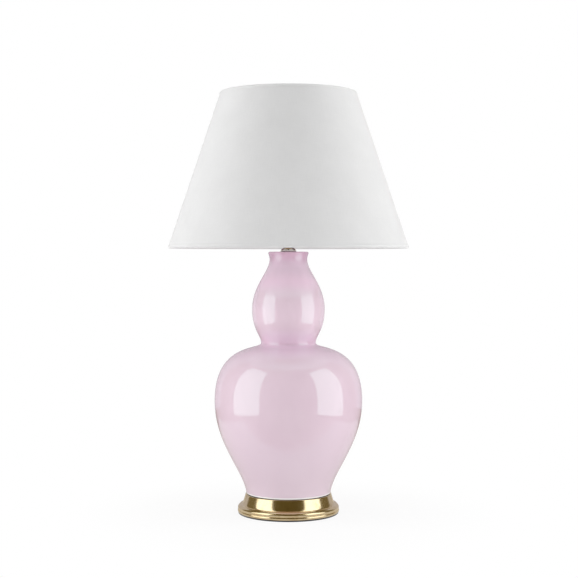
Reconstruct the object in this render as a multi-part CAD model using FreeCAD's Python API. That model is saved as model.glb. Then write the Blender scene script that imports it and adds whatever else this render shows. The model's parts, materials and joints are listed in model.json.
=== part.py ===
import FreeCAD, Part
import math
import os

# Double gourd table lamp, in millimetres. +Z is up and +Y is the back, where the cord comes in.
# The origin is the centre of the underside. Heights are stacked from the floor, piece on piece.

# Clearances
hair = 0.05            # running fit of a shaft, thread or liner in its hole
slip = 0.2             # a piece that is dropped over another
turn_gap = 0.1         # between faces that turn on each other
lift_gap = 0.3         # under a piece that lifts off

# Base
felt_thickness = 2.6
felt_inset = 1.2
base_wall = 1.8
lip_height = 4.0
lip_bulge = 0.4
groove_height = 0.8
groove_depth = 0.7
band_height = 2.8
shoulder_rise = 5.0
shoulder_run = 3.5
shoulder_hold = 0.45   # how far the shoulder keeps its direction at both ends
shoulder_slope = 1.2   # drop per unit outwards where the shoulder leaves the ledge
ledge_rise = 0.5
ledge_run = 3.5
cove_rise = 16.3
cove_run = 5.8
cove_hold = 0.49       # how far the cove keeps its upright direction at the collar
cove_foot_hold = 0.27  # and its slope at its foot
cove_slope = 1.25      # drop per unit outwards at the cove's foot
collar_height = 1.0
collar_margin = 1.0
gasket_thickness = 1.0
gasket_width = 12.0

# Cord bushing in the back of the base
bushing_bore = 2.8
bushing_wall = 0.9
bushing_flange = 1.0
bushing_flange_thickness = 1.5
bushing_tail = 3.0

# Gourd: radius and rise of each station, then how far each curve keeps its upright direction
foot_radius = 71.8
foot_round = 1.5
belly_radius = 124.9
belly_rise = 156.6
waist_radius = 46.4
waist_rise = 97.5
bulb_radius = 61.4
bulb_rise = 57.5
neck_radius = 31.9
neck_rise = 83.5
lip_radius = 34.1
lip_rise = 13.1
lip_round = 2.4
gourd_wall = 6.0
gourd_floor = 8.0
gourd_top = 7.0
foot_recess = 2.0
foot_flare = 0.09      # slope of the wall at the foot, sideways per unit of height
foot_hold, belly_low_hold = 0.225, 0.462
belly_high_hold, waist_low_hold = 1.017, 0.130
waist_high_hold, bulb_low_hold = 0.218, 0.627
bulb_high_hold, neck_low_hold = 0.477, 0.248
neck_high_hold, lip_hold = 0.4, 0.45
lip_lean = 1.0

# Pipe and the fasteners on it
pipe_radius = 4.85
pipe_bore = 3.3
pipe_tail = 3.0
pipe_room = 1.2        # around the pipe in the pottery and the base
steel_washer_radius = 20.0
steel_washer_thickness = 2.0
lock_washer_radius = 8.0
lock_washer_thickness = 1.2
nut_across_flats = 15.9
nut_height = 5.0

# Fittings on the gourd's top
mouth_washer_thickness = 0.8
dome_radius = 13.6
dome_top_radius = 7.6
dome_height = 6.2
dome_shoulder = 0.66   # share of the dome's height where its curve bends in
dome_wall = 0.9
neck_ring_radius = 7.5
neck_ring_height = 2.3

# Harp and its saddle
leg_spread = 31.0
saddle_width = 12.7
saddle_thickness = 1.6
saddle_bend = 4.0
saddle_height = 27.6
tongue_width = 7.0
tongue_height = 12.0
harp_wire = 1.8
harp_height = 241.3    # from the saddle to the seat of the shade
harp_half_width = 57.0
harp_leg_bend = 60.4   # heights of the bends above the saddle
harp_low_bend = 113.0
harp_high_bend = 163.0
harp_top_half = 13.0
leg_bend_radius = 50.0
shoulder_bend_radius = 80.0
top_bend_radius = 14.0
foot_socket_radius = 4.5
foot_socket_height = 14.0
foot_taper = 3.0
foot_end_radius = 2.5
sleeve_wall = 1.0
sleeve_edge = 0.6
sleeve_height = 14.0
seat_radius = 8.5
seat_thickness = 2.0
seat_cover = 1.0       # over the harp's wire, inside the seat's boss
swivel_radius = 4.6
stud_radius = 3.15
stud_length = 12.0
stud_bevel = 0.6

# Lamp holder
cap_wall = 0.8
cap_hub_radius = 7.4
cap_hub_height = 8.0
cap_dome_height = 8.0
cap_rim_height = 6.5
cap_bend_in = 2.0
cap_bend_up = 2.8
pipe_in_cap = 6.0
shell_radius = 16.4
shell_height = 46.0
shell_wall = 0.6
shell_in_cap = 5.0
paper_thickness = 0.7
holder_height = 20.0
holder_flat = 3.2
screw_shell_wall = 0.5
screw_shell_height = 20.0
tab_radius = 3.5
tab_height = 2.0
terminal_radius = 2.8
terminal_height = 1.6
screw_slot = 0.8
cap_screw_radius = 1.6
cap_screw_length = 5.0

# Switch on the front of the lamp holder
switch_shaft_radius = 1.9
switch_shaft_reach = 25.0
switch_hole = 3.0
knob_radius = 5.2
knob_length = 13.0
knob_gap = 2.5
knob_corner = 1.6
knob_flutes = 12
knob_flute_radius = 0.8

# Bulb
bulb_cap_radius = 13.0
bulb_cap_height = 20.0
bulb_cap_wall = 0.5
bulb_tip_radius = 4.8
bulb_tip_height = 1.2
bulb_cone_height = 3.6
bulb_cone_top = 11.0
bulb_length = 110.0
bulb_glass_radius = 30.0
bulb_neck_radius = 14.2
bulb_glass_wall = 0.9
bulb_glass_grip = 4.0
bulb_neck_hold, bulb_globe_hold = 0.3, 0.45
bulb_thread = 0.3      # play of the bulb in its screw shell

# Shade
shade_top_radius = 114.3
shade_bottom_radius = 203.2
shade_slant = 277.6
shade_recess = 17.0    # from the hub's seat up to the shade's top
skin_thickness = 0.6
liner_thickness = 0.8
shade_wire = 1.5
wire_gap = 0.25        # round the wire, inside its hem
hem_thickness = 0.5
hem_band = 6.5
hem_tuck = 1.2
seam_width = 12.0
seam_thickness = 0.4
hub_radius = 13.0
hub_hole = 5.6
hub_thickness = 1.6
arm_count = 3
arm_start = 8.4

# Finial
insert_wall = 1.0
insert_height = 10.0
finial_base_radius = 7.5
finial_base_height = 2.4
finial_waist_radius = 5.4
finial_waist_height = 6.0
finial_ball_radius = 7.6
finial_height = 22.0

# Heights of the stack, from the floor to the top of the gourd
base_bottom = felt_thickness
groove_bottom = base_bottom + lip_height
band_bottom = groove_bottom + groove_height
band_top = band_bottom + band_height
shoulder_top = band_top + shoulder_rise
cove_bottom = shoulder_top + ledge_rise
cove_top = cove_bottom + cove_rise
deck_top = cove_top + collar_height
deck_bottom = deck_top - base_wall
gourd_bottom = deck_top + gasket_thickness
belly_z = gourd_bottom + belly_rise
waist_z = belly_z + waist_rise
bulb_z = waist_z + bulb_rise
neck_z = bulb_z + neck_rise
lip_z = neck_z + lip_rise

# Heights of the fittings above the gourd
dome_bottom = lip_z + mouth_washer_thickness
dome_top = dome_bottom + dome_height
saddle_bottom = dome_top + neck_ring_height
saddle_top = saddle_bottom + saddle_thickness
shoulder_z = saddle_bottom + saddle_height
cap_bottom = saddle_top
cap_dome_bottom = cap_bottom + cap_hub_height
cap_rim_bottom = cap_dome_bottom + cap_dome_height
cap_top = cap_rim_bottom + cap_rim_height
shell_bottom = cap_top - shell_in_cap
shell_top = shell_bottom + shell_height
holder_bottom = shell_bottom + slip
holder_top = holder_bottom + holder_height
switch_z = holder_bottom + holder_height / 2
tab_top = holder_top + tab_height
tip_bottom = tab_top + lift_gap
seat_top = saddle_top + harp_height
seat_bottom = seat_top - seat_thickness
harp_top = seat_bottom - harp_wire - seat_cover
hub_bottom = seat_top + turn_gap
hub_top = hub_bottom + hub_thickness
finial_bottom = hub_top + slip

# Radii that pieces share
collar_radius = foot_radius + collar_margin
cove_radius = collar_radius + cove_run
ledge_radius = cove_radius + ledge_run
band_radius = ledge_radius + shoulder_run
base_lip_radius = band_radius + lip_bulge
deck_hole = pipe_radius + pipe_room
pipe_hole = pipe_radius + slip
bushing_radius = bushing_bore + bushing_wall
bushing_z = base_bottom + bushing_radius + bushing_flange + slip
shell_inner = shell_radius - shell_wall
paper_radius = shell_inner - hair
holder_radius = paper_radius - paper_thickness - slip
screw_inner = bulb_cap_radius + bulb_thread
screw_radius = screw_inner + screw_shell_wall
cap_inner = shell_radius + hair
cap_radius = cap_inner + cap_wall
sleeve_inner = foot_socket_radius + lift_gap
insert_inner = stud_radius + hair
insert_radius = insert_inner + insert_wall

# The shade's side, as a slope from its bottom edge to its top edge
shade_top = hub_bottom + shade_recess
shade_height = math.sqrt(shade_slant ** 2 - (shade_bottom_radius - shade_top_radius) ** 2)
shade_bottom = shade_top - shade_height
slope_r = (shade_top_radius - shade_bottom_radius) / shade_slant
slope_z = shade_height / shade_slant
shade_inside = -skin_thickness - liner_thickness
wire_depth = shade_inside - wire_gap - shade_wire
hem_inside = wire_depth - shade_wire - wire_gap - hem_thickness
hem_round = (hem_thickness - hem_inside) / 2
hem_middle = hem_thickness - hem_round

V = FreeCAD.Vector
up = V(0, 0, 1)
round_hold = 0.5523    # handle of a cubic curve that draws a quarter circle
corner_45 = 1 - math.sqrt(0.5)


def spot(place):
    """A place (radius, height) in the XZ plane."""
    return V(place[0], 0, place[1])


def outline(start, *steps):
    """A closed wire in the XZ plane. A step of one place is a line, of two an arc through the
    first, and of three a cubic curve with the first two as handles."""
    edges = []
    here = spot(start)
    for step in steps:
        places = [here] + [spot(place) for place in step]
        if len(step) == 1:
            edges.append(Part.LineSegment(*places).toShape())
        elif len(step) == 2:
            edges.append(Part.Arc(*places).toShape())
        else:
            curve = Part.BezierCurve()
            curve.setPoles(places)
            edges.append(curve.toShape())
        here = places[-1]
    if here.distanceToPoint(spot(start)) > 1e-6:
        edges.append(Part.LineSegment(here, spot(start)).toShape())
    return Part.Wire(edges)


def turned(start, *steps):
    """The solid that an outline sweeps round the Z axis."""
    return Part.Face(outline(start, *steps)).revolve(V(0, 0, 0), up, 360)


def tube(inner, outer, bottom, top):
    """An upright ring or tube."""
    return turned((inner, bottom), [(outer, bottom)], [(outer, top)], [(inner, top)])


def disc(radius, bottom, top):
    """An upright cylinder."""
    return Part.makeCylinder(radius, top - bottom, V(0, 0, bottom))


def bar(start, end, radius):
    """A round bar between two points."""
    return Part.makeCylinder(radius, (end - start).Length, start, end - start)


def block(width, depth, bottom, top):
    """A block centred on the Z axis."""
    return Part.makeBox(width, depth, top - bottom, V(-width / 2, -depth / 2, bottom))


def around(shape, count):
    """Copies of a shape, spaced evenly round the Z axis."""
    copies = []
    for index in range(count):
        copy = shape.copy()
        copy.rotate(V(0, 0, 0), up, 360 * index / count)
        copies.append(copy)
    return copies


def rounded_path(points, radii):
    """A wire of straight runs with a tangent arc at each inner point."""
    edges = []
    here = points[0]
    for before, corner, after, radius in zip(points, points[1:], points[2:], radii):
        into = (corner - before).normalize()
        out = (after - corner).normalize()
        half_turn = into.getAngle(out) / 2
        reach = radius * math.tan(half_turn)
        first = corner - into * reach
        last = corner + out * reach
        inward = (out - into).normalize()
        middle = corner + inward * (radius / math.cos(half_turn) - radius)
        edges.append(Part.LineSegment(here, first).toShape())
        edges.append(Part.Arc(first, middle, last).toShape())
        here = last
    edges.append(Part.LineSegment(here, points[-1]).toShape())
    return Part.Wire(edges)


# Base

def felt_pad():
    return disc(base_lip_radius - felt_inset, 0, felt_thickness)


def flank(collar, cove_foot, shoulder, band):
    """Places down a side: the cove from under the collar, the ledge at its foot, then the shoulder."""
    rise = collar[1] - cove_foot[1]
    ease = (cove_foot[0] - collar[0]) * cove_foot_hold
    lean = (band[0] - shoulder[0]) * shoulder_hold
    drop = shoulder[1] - band[1]
    return [
        collar,
        (collar[0], collar[1] - rise * cove_hold),
        (cove_foot[0] - ease, cove_foot[1] + ease * cove_slope),
        cove_foot,
        shoulder,
        (shoulder[0] + lean, shoulder[1] - lean * shoulder_slope),
        (band[0], band[1] + drop * shoulder_hold),
        band,
    ]


def base_outside():
    """The turned outside of the base, as steps from its bottom edge to the edge of the deck."""
    lip_middle = (base_bottom + groove_bottom) / 2
    groove_middle = (groove_bottom + band_bottom) / 2
    collar_corner = collar_height * corner_45
    collar = (collar_radius, cove_top)
    cove_foot = (cove_radius, cove_bottom)
    shoulder = (ledge_radius, shoulder_top)
    side = flank(collar, cove_foot, shoulder, (band_radius, band_top))[::-1]
    return [
        [(base_lip_radius, lip_middle), (band_radius, groove_bottom)],
        [(band_radius - groove_depth, groove_middle)],
        [(band_radius, band_bottom)],
        side[:1],
        side[1:4],
        side[4:5],
        side[5:],
        [(collar_radius - collar_corner, deck_top - collar_corner),
         (collar_radius - collar_height, deck_top)],
    ]


def base_foot():
    """A spun shell, open underneath, with a deck that the gourd stands on."""
    wall_top = (collar_radius - collar_height - base_wall, deck_bottom)
    wall_foot = (cove_radius - base_wall, cove_bottom - base_wall)
    wall_shoulder = (ledge_radius - base_wall, shoulder_top - base_wall)
    wall_low = (band_radius - base_wall - groove_depth, band_top)
    side = flank(wall_top, wall_foot, wall_shoulder, wall_low)
    shell = turned(
        (band_radius - lip_bulge, base_bottom),
        *base_outside(),
        [(deck_hole, deck_top)],
        [(deck_hole, deck_bottom)],
        side[:1],
        side[1:4],
        side[4:5],
        side[5:],
        [(wall_low[0], base_bottom)],
    )
    inside = V(0, band_radius - base_wall - bushing_tail, bushing_z)
    outside = V(0, base_lip_radius + bushing_flange_thickness, bushing_z)
    return shell.cut(bar(inside, outside, bushing_radius + hair))


def cord_bushing():
    """A flanged plastic bushing in the base's back wall."""
    inner_end = V(0, band_radius - base_wall - bushing_tail, bushing_z)
    wall = V(0, base_lip_radius, bushing_z)
    outer_end = V(0, base_lip_radius + bushing_flange_thickness, bushing_z)
    body = bar(inner_end, outer_end, bushing_radius)
    flange = bar(wall, outer_end, bushing_radius + bushing_flange)
    return body.fuse(flange).removeSplitter().cut(bar(inner_end, outer_end, bushing_bore))


def foot_gasket():
    outer = foot_radius - foot_round
    return tube(outer - gasket_width, outer, deck_top, gourd_bottom)


def steel_washer():
    return tube(pipe_hole, steel_washer_radius, deck_bottom - steel_washer_thickness, deck_bottom)


def lock_washer():
    top = deck_bottom - steel_washer_thickness
    return tube(pipe_hole, lock_washer_radius, top - lock_washer_thickness, top)


def bottom_nut():
    top = deck_bottom - steel_washer_thickness - lock_washer_thickness
    corner = nut_across_flats / math.sqrt(3)
    corners = [V(corner * math.cos(turn), corner * math.sin(turn), top - nut_height)
               for turn in (index * math.pi / 3 for index in range(7))]
    hexagon = Part.Face(Part.makePolygon(corners)).extrude(V(0, 0, nut_height))
    return hexagon.cut(disc(pipe_radius + hair, top - nut_height, top))


def lamp_pipe():
    washers = steel_washer_thickness + lock_washer_thickness
    bottom = deck_bottom - washers - nut_height - pipe_tail
    return tube(pipe_bore, pipe_radius, bottom, cap_bottom + pipe_in_cap)


# Gourd

def gourd_side(inset):
    """The gourd's side from foot to lip, moved in by inset, as curves between its stations."""
    foot = foot_radius - inset
    belly = belly_radius - inset
    waist = waist_radius - inset
    upper = bulb_radius - inset
    neck = neck_radius - inset
    lip = lip_radius - inset
    foot_reach = belly_rise * foot_hold
    return [
        [(foot + foot_reach * foot_flare, gourd_bottom + foot_reach),
         (belly, belly_z - belly_rise * belly_low_hold), (belly, belly_z)],
        [(belly, belly_z + waist_rise * belly_high_hold),
         (waist, waist_z - waist_rise * waist_low_hold), (waist, waist_z)],
        [(waist, waist_z + bulb_rise * waist_high_hold),
         (upper, bulb_z - bulb_rise * bulb_low_hold), (upper, bulb_z)],
        [(upper, bulb_z + neck_rise * bulb_high_hold),
         (neck, neck_z - neck_rise * neck_low_hold), (neck, neck_z)],
        [(neck, neck_z + lip_rise * neck_high_hold),
         (lip - lip_lean, lip_z - lip_rise * lip_hold), (lip, lip_z - lip_round)],
    ]


def gourd_body():
    """Glazed pottery with a closed top and a hole for the pipe through both ends."""
    foot_corner = foot_round * corner_45
    lip_corner = lip_round * corner_45
    outside = turned(
        (0, gourd_bottom),
        [(foot_radius - foot_round, gourd_bottom)],
        [(foot_radius - foot_corner, gourd_bottom + foot_corner), (foot_radius, gourd_bottom + foot_round)],
        *gourd_side(0),
        [(lip_radius - lip_corner, lip_z - lip_corner), (lip_radius - lip_round, lip_z)],
        [(0, lip_z)],
    )
    cavity = turned(
        (0, gourd_bottom),
        [(foot_radius - gourd_wall, gourd_bottom)],
        *gourd_side(gourd_wall),
        [(0, lip_z - lip_round)],
    )
    room = disc(belly_radius, gourd_bottom + gourd_floor, lip_z - gourd_top)
    recess = disc(foot_radius - foot_round - gasket_width, gourd_bottom, gourd_bottom + foot_recess)
    hole = disc(deck_hole, gourd_bottom, lip_z)
    return outside.cut(cavity.common(room)).cut(recess).cut(hole)


# Fittings on the top

def mouth_washer():
    return tube(pipe_hole, dome_radius - dome_wall / 2, lip_z, dome_bottom)


def dome_cap():
    """A spun dome that covers the hole in the pottery."""
    bend = (dome_radius + dome_top_radius) / 2
    shoulder = dome_bottom + dome_height * dome_shoulder
    inner = dome_radius - dome_wall
    inner_bend = bend - dome_wall
    ceiling = dome_top - dome_wall
    return turned(
        (inner, dome_bottom),
        [(dome_radius, dome_bottom)],
        [(bend + dome_wall, shoulder), (dome_top_radius, dome_top)],
        [(pipe_hole, dome_top)],
        [(pipe_hole, ceiling)],
        [(dome_top_radius - dome_wall, ceiling)],
        [(inner_bend + dome_wall, shoulder - dome_wall), (inner, dome_bottom)],
    )


def neck_ring():
    return tube(pipe_hole, neck_ring_radius, dome_top, saddle_bottom)


def harp_saddle():
    """A strip bent into a U, with a narrow tongue at each end that the harp stands on."""
    outer = leg_spread + saddle_thickness / 2
    inner = leg_spread - saddle_thickness / 2
    inner_bend = saddle_bend - saddle_thickness
    tongue_top = shoulder_z + tongue_height

    def corner(side, edge_x, floor, radius):
        return (side * (edge_x - radius * corner_45), floor + radius * corner_45)

    strip = outline(
        (-outer, tongue_top),
        [(-outer, saddle_bottom + saddle_bend)],
        [corner(-1, outer, saddle_bottom, saddle_bend), (-outer + saddle_bend, saddle_bottom)],
        [(outer - saddle_bend, saddle_bottom)],
        [corner(1, outer, saddle_bottom, saddle_bend), (outer, saddle_bottom + saddle_bend)],
        [(outer, tongue_top)],
        [(inner, tongue_top)],
        [(inner, saddle_top + inner_bend)],
        [corner(1, inner, saddle_top, inner_bend), (inner - inner_bend, saddle_top)],
        [(-inner + inner_bend, saddle_top)],
        [corner(-1, inner, saddle_top, inner_bend), (-inner, saddle_top + inner_bend)],
        [(-inner, tongue_top)],
    )
    saddle = Part.Face(strip).extrude(V(0, saddle_width, 0))
    saddle.translate(V(0, -saddle_width / 2, 0))
    notch = (saddle_width - tongue_width) / 2
    for side in (-1, 1):
        corner_y = tongue_width / 2 if side > 0 else -tongue_width / 2 - notch
        cut = Part.makeBox(2 * outer, notch, tongue_height, V(-outer, corner_y, shoulder_z))
        saddle = saddle.cut(cut)
    return saddle.cut(disc(pipe_hole, saddle_bottom, saddle_top))


# Lamp holder

def socket_cap():
    """The holder's lower shell, with a threaded hub on the pipe."""
    ceiling = cap_dome_bottom + cap_wall
    neck_inner = cap_hub_radius - cap_wall
    bend_out = cap_radius - cap_bend_in
    shape = turned(
        (pipe_radius + hair, cap_bottom),
        [(cap_hub_radius, cap_bottom)],
        [(cap_hub_radius, cap_dome_bottom)],
        [(bend_out, cap_dome_bottom + cap_bend_up), (cap_radius, cap_rim_bottom)],
        [(cap_radius, cap_top)],
        [(cap_inner, cap_top)],
        [(cap_inner, cap_rim_bottom + cap_wall)],
        [(bend_out - cap_wall, ceiling + cap_bend_up), (neck_inner, ceiling)],
        [(pipe_radius + hair, ceiling)],
    )
    hole = bar(V(0, 0, cap_bottom + cap_hub_height / 2), V(cap_radius, 0, cap_bottom + cap_hub_height / 2),
               cap_screw_radius)
    return shape.cut(hole)


def cap_screw():
    """The set screw that locks the holder on the pipe."""
    middle = cap_bottom + cap_hub_height / 2
    start = V(pipe_radius, 0, middle)
    screw = bar(start, V(pipe_radius + cap_screw_length, 0, middle), cap_screw_radius)
    slot_start = V(pipe_radius + cap_screw_length - screw_slot, -cap_screw_radius, middle - screw_slot / 2)
    slot = Part.makeBox(screw_slot, 2 * cap_screw_radius, screw_slot, slot_start)
    return screw.cut(disc(pipe_radius, cap_bottom, cap_dome_bottom)).cut(slot)


def socket_shell():
    """The holder's upper shell, with a hole for the switch and a rolled mouth."""
    mouth = shell_wall / 2
    shape = turned(
        (shell_inner, shell_bottom),
        [(shell_radius, shell_bottom)],
        [(shell_radius, shell_top - mouth)],
        [(shell_radius - mouth, shell_top), (shell_inner, shell_top - mouth)],
    )
    return shape.cut(bar(V(0, 0, switch_z), V(0, -cap_radius, switch_z), switch_hole))


def socket_paper():
    """The paper sleeve that insulates the shell."""
    sleeve = tube(paper_radius - paper_thickness, paper_radius, holder_bottom, shell_top - 2 * shell_wall)
    return sleeve.cut(bar(V(0, 0, switch_z), V(0, -cap_radius, switch_z), switch_hole))


def holder_block():
    """The moulded block that carries the contacts and the switch."""
    block_shape = disc(holder_radius, holder_bottom, holder_top)
    for flat_x in (-holder_radius, holder_radius - holder_flat):
        cut = Part.makeBox(holder_flat, 2 * holder_radius, holder_height - 2 * holder_flat,
                           V(flat_x, -holder_radius, holder_bottom + holder_flat))
        block_shape = block_shape.cut(cut)
    bore = bar(V(0, 0, switch_z), V(0, -cap_radius, switch_z), switch_shaft_radius + hair)
    return block_shape.cut(bore)


def terminal_screws():
    """A slotted screw on each side of the block."""
    screws = []
    for side in (-1, 1):
        start = V(side * (holder_radius - holder_flat), 0, switch_z)
        end = start + V(side * terminal_height, 0, 0)
        slot_x = end.x - screw_slot if side > 0 else end.x
        slot = Part.makeBox(screw_slot, 2 * terminal_radius, screw_slot,
                            V(slot_x, -terminal_radius, switch_z - screw_slot / 2))
        screws.append(bar(start, end, terminal_radius).cut(slot))
    return Part.makeCompound(screws)


def screw_shell():
    """The threaded shell, taken as a plain cylinder, with a floor round the centre tab."""
    floor = holder_top + screw_shell_wall
    return turned(
        (2 * tab_radius, holder_top),
        [(screw_radius, holder_top)],
        [(screw_radius, holder_top + screw_shell_height)],
        [(screw_inner, holder_top + screw_shell_height)],
        [(screw_inner, floor)],
        [(2 * tab_radius, floor)],
    )


def centre_tab():
    """The springy centre contact, as a stem with a flat head."""
    head = tab_height / 2
    return turned(
        (0, holder_top),
        [(tab_radius / 2, holder_top)],
        [(tab_radius / 2, tab_top - head)],
        [(tab_radius, tab_top - head)],
        [(tab_radius, tab_top)],
        [(0, tab_top)],
    )


# Switch

knob_start = cap_radius + knob_gap


def switch_shaft():
    return bar(V(0, 0, switch_z), V(0, -switch_shaft_reach, switch_z), switch_shaft_radius)


def switch_knob():
    """A fluted knob with a rounded end, on the shaft."""
    bevel = knob_corner * corner_45
    knob = turned(
        (0, 0),
        [(knob_radius, 0)],
        [(knob_radius, knob_length - knob_corner)],
        [(knob_radius - bevel, knob_length - bevel), (knob_radius - knob_corner, knob_length)],
        [(0, knob_length)],
    )
    flute = Part.makeCylinder(knob_flute_radius, knob_length, V(knob_radius, 0, knob_corner))
    for cut in around(flute, knob_flutes):
        knob = knob.cut(cut)
    knob.rotate(V(0, 0, 0), V(1, 0, 0), 90)
    knob.translate(V(0, -knob_start, switch_z))
    return knob.cut(switch_shaft())


# Bulb

cone_bottom = tip_bottom + bulb_tip_height + turn_gap
bulb_cap_bottom = cone_bottom + bulb_cone_height
bulb_cap_top = bulb_cap_bottom + bulb_cap_height
bulb_top = tip_bottom + bulb_length


def bulb_contact():
    """The round contact at the bulb's tip."""
    return turned(
        (0, tip_bottom),
        [(bulb_tip_radius / 2, tip_bottom)],
        [(bulb_tip_radius, tip_bottom + bulb_tip_height / 2)],
        [(bulb_tip_radius, tip_bottom + bulb_tip_height)],
        [(0, tip_bottom + bulb_tip_height)],
    )


def bulb_insulator():
    return turned(
        (0, cone_bottom),
        [(bulb_tip_radius, cone_bottom)],
        [(bulb_cone_top, bulb_cap_bottom)],
        [(0, bulb_cap_bottom)],
    )


def bulb_cap():
    """The bulb's metal cap, taken as a plain cylinder without its thread."""
    inner = bulb_cap_radius - bulb_cap_wall
    floor = bulb_cap_bottom + bulb_cap_wall
    edge = bulb_cone_top - 2 * bulb_cap_wall
    return turned(
        (edge, bulb_cap_bottom),
        [(bulb_cone_top, bulb_cap_bottom)],
        [(bulb_cap_radius, bulb_cap_bottom + 2 * bulb_cap_wall)],
        [(bulb_cap_radius, bulb_cap_top)],
        [(inner, bulb_cap_top)],
        [(inner, floor + 2 * bulb_cap_wall)],
        [(edge, floor)],
    )


def bulb_curve(inset):
    """The glass from the cap up to the top, as curves."""
    neck = bulb_neck_radius - inset
    globe = bulb_glass_radius - inset
    top = bulb_top - inset
    globe_z = bulb_top - bulb_glass_radius
    rise = globe_z - bulb_cap_top
    return [
        [(neck, bulb_cap_top + rise * bulb_neck_hold),
         (globe, globe_z - rise * bulb_globe_hold),
         (globe, globe_z)],
        [(globe, globe_z + (top - globe_z) * round_hold), (globe * round_hold, top), (0, top)],
    ]


def bulb_glass():
    """A blown globe, open at the bottom inside its cap."""
    outer = bulb_cap_radius - bulb_cap_wall - hair
    inner = outer - bulb_glass_wall
    bottom = bulb_cap_top - bulb_glass_grip
    glass = turned((0, bottom), [(outer, bottom)], [(outer, bulb_cap_top)], *bulb_curve(0))
    air = turned((0, bottom), [(inner, bottom)], [(inner, bulb_cap_top)], *bulb_curve(bulb_glass_wall))
    return glass.cut(air)


# Harp

foot_bottom = shoulder_z + slip
foot_top = foot_bottom + foot_socket_height


def harp_path():
    """The harp's centre line, from foot to foot over the top."""
    right = [
        (leg_spread, foot_top - slip),
        (leg_spread, saddle_bottom + harp_leg_bend),
        (harp_half_width, saddle_bottom + harp_low_bend),
        (harp_half_width, saddle_bottom + harp_high_bend),
        (harp_top_half, harp_top),
    ]
    left = [(-x, z) for x, z in reversed(right)]
    bends = [leg_bend_radius, leg_bend_radius, shoulder_bend_radius, top_bend_radius]
    return rounded_path([spot(place) for place in right + left], bends + bends[::-1])


def harp_hoop():
    start = V(leg_spread, 0, foot_top - slip)
    section = Part.Wire(Part.makeCircle(harp_wire, start, up))
    path = harp_path()
    hoop = path.makePipeShell([section], True, False)
    print("harp: volume over section times length is",
          round(hoop.Volume / (math.pi * harp_wire ** 2 * path.Length), 4))
    return hoop


def harp_feet():
    """A slotted foot at each end of the harp, which drops over the saddle's tongue."""
    feet = []
    slot_width = tongue_width + 2 * slip
    slot_thickness = saddle_thickness + 2 * slip
    for side in (-1, 1):
        foot = turned(
            (0, foot_bottom),
            [(foot_socket_radius, foot_bottom)],
            [(foot_socket_radius, foot_top)],
            [(foot_end_radius, foot_top + foot_taper)],
            [(0, foot_top + foot_taper)],
        )
        foot = foot.cut(block(slot_thickness, slot_width, foot_bottom, shoulder_z + tongue_height + slip))
        foot = foot.cut(disc(harp_wire, foot_top - slip, foot_top + foot_taper))
        foot.translate(V(side * leg_spread, 0, 0))
        feet.append(foot)
    return Part.makeCompound(feet)


def sleeve(side):
    """The sleeve that slides down to lock a foot on its tongue."""
    bottom = shoulder_z + lift_gap
    outer = sleeve_inner + sleeve_wall
    shape = turned(
        (sleeve_inner, bottom),
        [(outer - sleeve_edge, bottom)],
        [(outer, bottom + sleeve_edge)],
        [(outer, bottom + sleeve_height - sleeve_edge)],
        [(outer - sleeve_edge, bottom + sleeve_height)],
        [(sleeve_inner, bottom + sleeve_height)],
    )
    shape.translate(V(side * leg_spread, 0, 0))
    return shape


def harp_seat():
    """The seat that the shade rests on, with a boss round the harp's top."""
    boss_bottom = harp_top - 2 * harp_wire
    shape = turned(
        (0, boss_bottom),
        [(swivel_radius, boss_bottom)],
        [(swivel_radius, seat_bottom)],
        [(seat_radius, seat_bottom)],
        [(seat_radius, seat_top)],
        [(0, seat_top)],
    )
    wire_hole = bar(V(-seat_radius, 0, harp_top), V(seat_radius, 0, harp_top), harp_wire + hair)
    return shape.cut(wire_hole).cut(disc(stud_radius, seat_bottom, seat_top))


def harp_stud():
    """The stud that the finial screws onto, taken as plain, with a bevelled end."""
    end = seat_top + stud_length
    return turned(
        (0, seat_bottom),
        [(stud_radius, seat_bottom)],
        [(stud_radius, end - stud_bevel)],
        [(stud_radius - stud_bevel, end)],
        [(0, end)],
    )


# Shade

def on_side(along, out):
    """A place on the shade's side: along from its bottom edge, and out from its outer face."""
    radius = shade_bottom_radius + slope_r * along + slope_z * out
    height = shade_bottom + slope_z * along - slope_r * out
    return (radius, height)


def side_sheet(low, high, inner, outer):
    """A layer of the shade's side between two distances along it."""
    return turned(
        on_side(low, inner),
        [on_side(low, outer)],
        [on_side(high, outer)],
        [on_side(high, inner)],
    )


def shade_skin():
    return side_sheet(hem_round, shade_slant - hem_round, -skin_thickness, 0)


def shade_liner():
    return side_sheet(hem_round, shade_slant - hem_round, shade_inside, -skin_thickness)


def shade_seam():
    """The lapped seam down the back of the skin."""
    strip = side_sheet(hem_band + hem_thickness, shade_slant - hem_band - hem_thickness, 0, seam_thickness)
    back = Part.makeBox(seam_width, shade_bottom_radius * 2, shade_height * 2,
                        V(-seam_width / 2, 0, shade_bottom - shade_height / 2))
    return strip.common(back)


def from_edge(end, inward, out):
    """A place near the shade's bottom edge (end 0) or top edge (end 1), inward from that edge."""
    along = inward if end == 0 else shade_slant - inward
    return on_side(along, out)


def shade_ring(end):
    """The wire inside one edge of the shade."""
    centre = from_edge(end, hem_round, wire_depth)
    return Part.makeTorus(centre[0], shade_wire, V(0, 0, centre[1]))


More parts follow.
